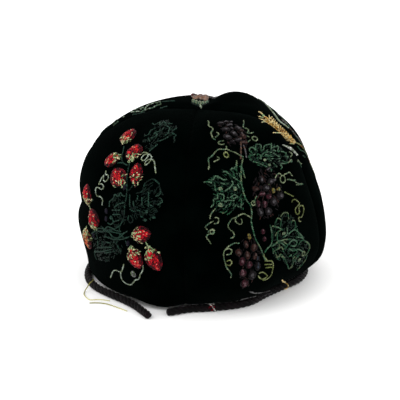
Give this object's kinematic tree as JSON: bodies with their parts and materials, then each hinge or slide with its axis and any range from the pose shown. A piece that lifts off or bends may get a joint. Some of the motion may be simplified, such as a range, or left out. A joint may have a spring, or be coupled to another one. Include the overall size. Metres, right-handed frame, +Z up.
{
  "type": "smoking cap",
  "caption": "Soft domed smoking cap of black velvet gores with embroidered fruit and flowers and a twisted cord round the hem.",
  "frame": {"origin": "middle of the cap's footprint, without the loose cord, on the surface that it rests on", "axes": "+Z up, -Y towards the viewer at the front seam between the strawberry and grape gores, +X to the viewer's right"},
  "size_m": [0.2124, 0.2042, 0.1547],
  "materials": {
    "black_velvet": "cotton velvet with a short nap, embroidered in coloured silks",
    "cord_silk": "twisted silk cord, purple-brown to black"
  },
  "bodies": {
    "root": {"velvet_panel_strawberry": "black_velvet", "velvet_panel_grape": "black_velvet", "velvet_panel_wheat": "black_velvet", "velvet_panel_rose": "black_velvet", "edge_cord": "cord_silk", "loose_cord": "cord_silk"}
  },
  "joints": []
}
